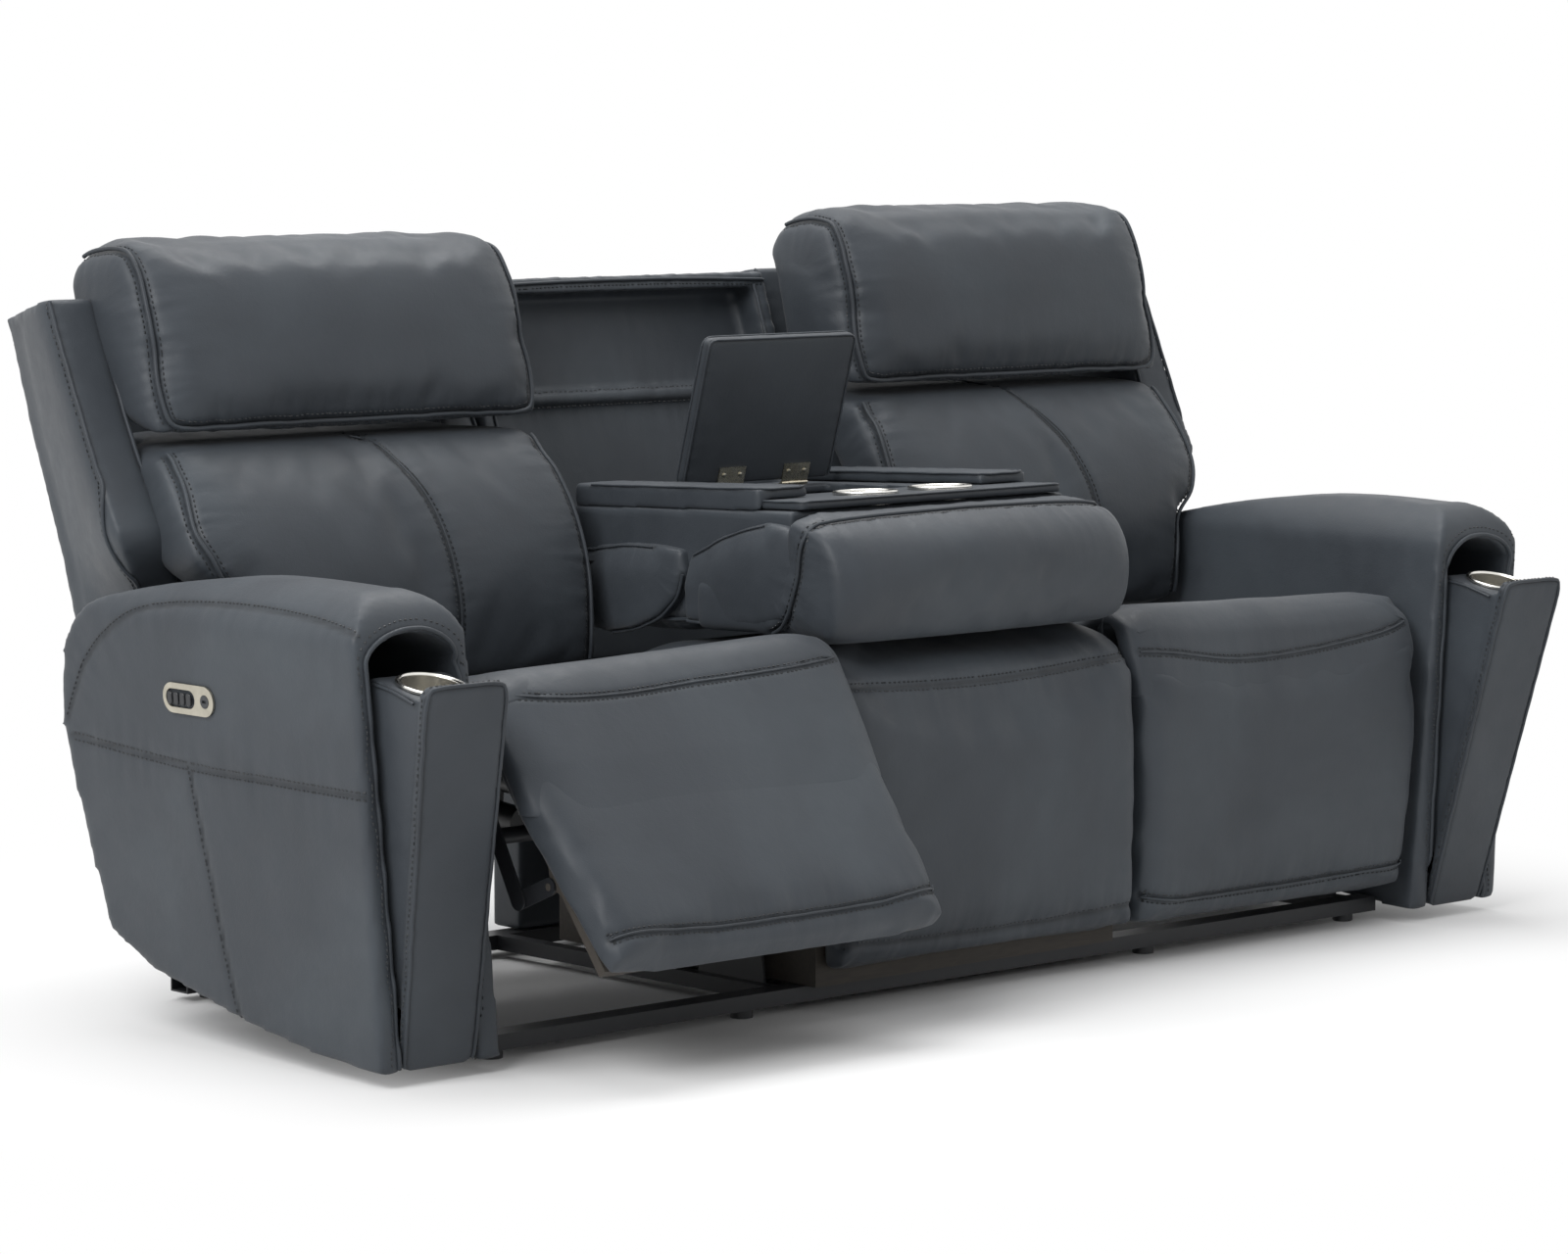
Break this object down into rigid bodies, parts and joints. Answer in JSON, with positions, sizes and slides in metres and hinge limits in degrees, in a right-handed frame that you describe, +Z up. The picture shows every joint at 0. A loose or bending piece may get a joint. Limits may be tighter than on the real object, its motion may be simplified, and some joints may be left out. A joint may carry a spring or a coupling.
{
  "type": "power reclining sofa with drop-down console",
  "caption": "Leather reclining sofa whose middle back folds down into a console with cup holders, armrest pads and a lidded bin; arm fronts open as cup doors.",
  "frame": {"origin": "on the floor under the middle of the sofa's bounding box", "axes": "+X to the right seen from the front, +Y to the back, +Z up"},
  "size_m": [2.32, 1.2212, 1.0923],
  "materials": {
    "leather": "satin",
    "black_steel": "satin",
    "black_plastic": "matte",
    "dark_lining": "matte",
    "satin_nickel": "satin",
    "stainless": "polished",
    "socket_plastic": "gloss",
    "hinge_metal": "satin"
  },
  "bodies": {
    "root": {"base_cross_rails": "black_steel", "base_side_rails": "black_steel", "floor_glides": "black_plastic", "arm_left": "leather", "arm_right": "leather", "pocket_rails": "satin_nickel", "control_plates": "satin_nickel", "usb_sockets": "socket_plastic", "centre_seat_box": "dark_lining", "centre_front_panel": "leather", "centre_seat_cushion": "leather", "centre_back_frame": "leather", "console_brackets": "black_steel"},
    "console": {"console_base": "leather", "console_deck": "leather", "console_pads": "leather", "console_pillow": "leather", "console_lumbar_pad": "leather", "console_cups": "stainless", "console_hinge_leaves": "hinge_metal"},
    "lid": {"console_lid": "leather", "lid_hinge_leaves": "hinge_metal"},
    "door_left": {"door_panel_left": "leather", "door_bin_left": "leather", "door_cup_left": "stainless"},
    "seat_left": {"seat_frame_left": "black_steel", "seat_cushion_left": "leather", "drive_body_left": "black_plastic"},
    "back_left": {"back_shell_left": "leather", "back_wings_left": "leather", "back_cushion_left": "leather"},
    "headrest_left": {"headrest_left": "leather"},
    "footrest_left": {"footrest_pad_left": "leather", "footrest_board_left": "dark_lining"},
    "cranks_left": {"footrest_cranks_left": "black_steel"},
    "couplers_left": {"footrest_couplers_left": "black_steel"},
    "drive_rod_left": {"drive_rod_left": "stainless"},
    "button_left_1": {"power_button_left_1": "satin_nickel"},
    "button_left_2": {"power_button_left_2": "satin_nickel"},
    "button_left_3": {"power_button_left_3": "satin_nickel"},
    "button_left_4": {"power_button_left_4": "satin_nickel"},
    "door_right": {"door_panel_right": "leather", "door_bin_right": "leather", "door_cup_right": "stainless"},
    "seat_right": {"seat_frame_right": "black_steel", "seat_cushion_right": "leather", "drive_body_right": "black_plastic"},
    "back_right": {"back_shell_right": "leather", "back_wings_right": "leather", "back_cushion_right": "leather"},
    "headrest_right": {"headrest_right": "leather"},
    "footrest_right": {"footrest_pad_right": "leather", "footrest_board_right": "dark_lining"},
    "cranks_right": {"footrest_cranks_right": "black_steel"},
    "couplers_right": {"footrest_couplers_right": "black_steel"},
    "drive_rod_right": {"drive_rod_right": "stainless"},
    "button_right_1": {"power_button_right_1": "satin_nickel"},
    "button_right_2": {"power_button_right_2": "satin_nickel"},
    "button_right_3": {"power_button_right_3": "satin_nickel"},
    "button_right_4": {"power_button_right_4": "satin_nickel"}
  },
  "joints": [
    {"name": "console_raise", "type": "hinge", "parent": "root", "child": "console", "pos_m": [0, 0.1486, 0.58], "axis": [-1, 0, 0], "range_deg": [0, 107.6]},
    {"name": "lid_hinge", "type": "hinge", "parent": "console", "child": "lid", "pos_m": [0, 0.13167, 0.70142], "axis": [-1, 0, 0], "range_deg": [-72, 20]},
    {"name": "arm_door_left", "type": "hinge", "parent": "root", "child": "door_left", "pos_m": [-1.04, -0.3604, 0.026], "axis": [1, 0, 0], "range_deg": [-13, 0]},
    {"name": "seat_swing_left", "type": "hinge", "parent": "root", "child": "seat_left", "pos_m": [-0.6067, -0.1044, 1.1], "axis": [-1, 0, 0], "range_deg": [-2.87, 0]},
    {"name": "back_recline_left", "type": "hinge", "parent": "seat_left", "child": "back_left", "pos_m": [-0.6067, 0.36791, 0.37544], "axis": [-1, 0, 0], "range_deg": [0, 25]},
    {"name": "headrest_tilt_left", "type": "hinge", "parent": "back_left", "child": "headrest_left", "pos_m": [-0.6067, 0.25462, 0.83169], "axis": [1, 0, 0], "range_deg": [0, 30]},
    {"name": "footrest_left", "type": "hinge", "parent": "seat_left", "child": "footrest_left", "pos_m": [-0.6067, -0.35508, 0.41369], "axis": [-1, 0, 0], "range_deg": [-34.9, 52]},
    {"name": "footrest_crank_left", "type": "hinge", "parent": "seat_left", "child": "cranks_left", "pos_m": [-0.6067, -0.29625, 0.38871], "axis": [-1, 0, 0], "range_deg": [-35, 52.1]},
    {"name": "footrest_coupler_left", "type": "hinge", "parent": "footrest_left", "child": "couplers_left", "pos_m": [-0.6067, -0.44442, 0.25267], "axis": [-1, 0, 0], "range_deg": [-52.1, 35]},
    {"name": "drive_extend_left", "type": "slide", "parent": "seat_left", "child": "drive_rod_left", "axis": [0, -0.9957, -0.0921], "range_m": [-0.04218, 0.0627]},
    {"name": "press_button_left_1", "type": "slide", "parent": "root", "child": "button_left_1", "axis": [0.9971, 0, 0.0758], "range_m": [0, 0.0015], "stiffness_N_per_m": 400},
    {"name": "press_button_left_2", "type": "slide", "parent": "root", "child": "button_left_2", "axis": [0.9971, 0, 0.0758], "range_m": [0, 0.0015], "stiffness_N_per_m": 400},
    {"name": "press_button_left_3", "type": "slide", "parent": "root", "child": "button_left_3", "axis": [0.9971, 0, 0.0758], "range_m": [0, 0.0015], "stiffness_N_per_m": 400},
    {"name": "press_button_left_4", "type": "slide", "parent": "root", "child": "button_left_4", "axis": [0.9971, 0, 0.0758], "range_m": [0, 0.0015], "stiffness_N_per_m": 400},
    {"name": "arm_door_right", "type": "hinge", "parent": "root", "child": "door_right", "pos_m": [1.04, -0.3604, 0.026], "axis": [1, 0, 0], "range_deg": [-13, 0]},
    {"name": "seat_swing_right", "type": "hinge", "parent": "root", "child": "seat_right", "pos_m": [0.6067, -0.1044, 1.1], "axis": [-1, 0, 0], "range_deg": [0, 2.87]},
    {"name": "back_recline_right", "type": "hinge", "parent": "seat_right", "child": "back_right", "pos_m": [0.6067, 0.4036, 0.4], "axis": [-1, 0, 0], "range_deg": [0, 25]},
    {"name": "headrest_tilt_right", "type": "hinge", "parent": "back_right", "child": "headrest_right", "pos_m": [0.6067, 0.2676, 0.85], "axis": [1, 0, 0], "range_deg": [0, 30]},
    {"name": "footrest_right", "type": "hinge", "parent": "seat_right", "child": "footrest_right", "pos_m": [0.6067, -0.3204, 0.402], "axis": [-1, 0, 0], "range_deg": [0, 87]},
    {"name": "footrest_crank_right", "type": "hinge", "parent": "seat_right", "child": "cranks_right", "pos_m": [0.6067, -0.2604, 0.38], "axis": [-1, 0, 0], "range_deg": [-0.1, 87.1]},
    {"name": "footrest_coupler_right", "type": "hinge", "parent": "footrest_right", "child": "couplers_right", "pos_m": [0.6067, -0.2924, 0.22], "axis": [-1, 0, 0], "range_deg": [-87.1, 0.1]},
    {"name": "drive_extend_right", "type": "slide", "parent": "seat_right", "child": "drive_rod_right", "axis": [0, -0.9899, -0.1418], "range_m": [-0.0003, 0.1047]},
    {"name": "press_button_right_1", "type": "slide", "parent": "root", "child": "button_right_1", "axis": [-0.9971, 0, 0.0758], "range_m": [0, 0.0015], "stiffness_N_per_m": 400},
    {"name": "press_button_right_2", "type": "slide", "parent": "root", "child": "button_right_2", "axis": [-0.9971, 0, 0.0758], "range_m": [0, 0.0015], "stiffness_N_per_m": 400},
    {"name": "press_button_right_3", "type": "slide", "parent": "root", "child": "button_right_3", "axis": [-0.9971, 0, 0.0758], "range_m": [0, 0.0015], "stiffness_N_per_m": 400},
    {"name": "press_button_right_4", "type": "slide", "parent": "root", "child": "button_right_4", "axis": [-0.9971, 0, 0.0758], "range_m": [0, 0.0015], "stiffness_N_per_m": 400}
  ],
  "couplings": [
    {"joint": "lid_hinge", "follows": "console_raise", "ratio": -0.669},
    {"joint": "footrest_crank_left", "follows": "footrest_left", "ratio": 1},
    {"joint": "footrest_coupler_left", "follows": "footrest_left", "ratio": -1},
    {"joint": "drive_extend_left", "follows": "footrest_left", "m_per_rad": 0.068755},
    {"joint": "footrest_crank_right", "follows": "footrest_right", "ratio": 1},
    {"joint": "footrest_coupler_right", "follows": "footrest_right", "ratio": -1},
    {"joint": "drive_extend_right", "follows": "footrest_right", "m_per_rad": 0.068755}
  ]
}
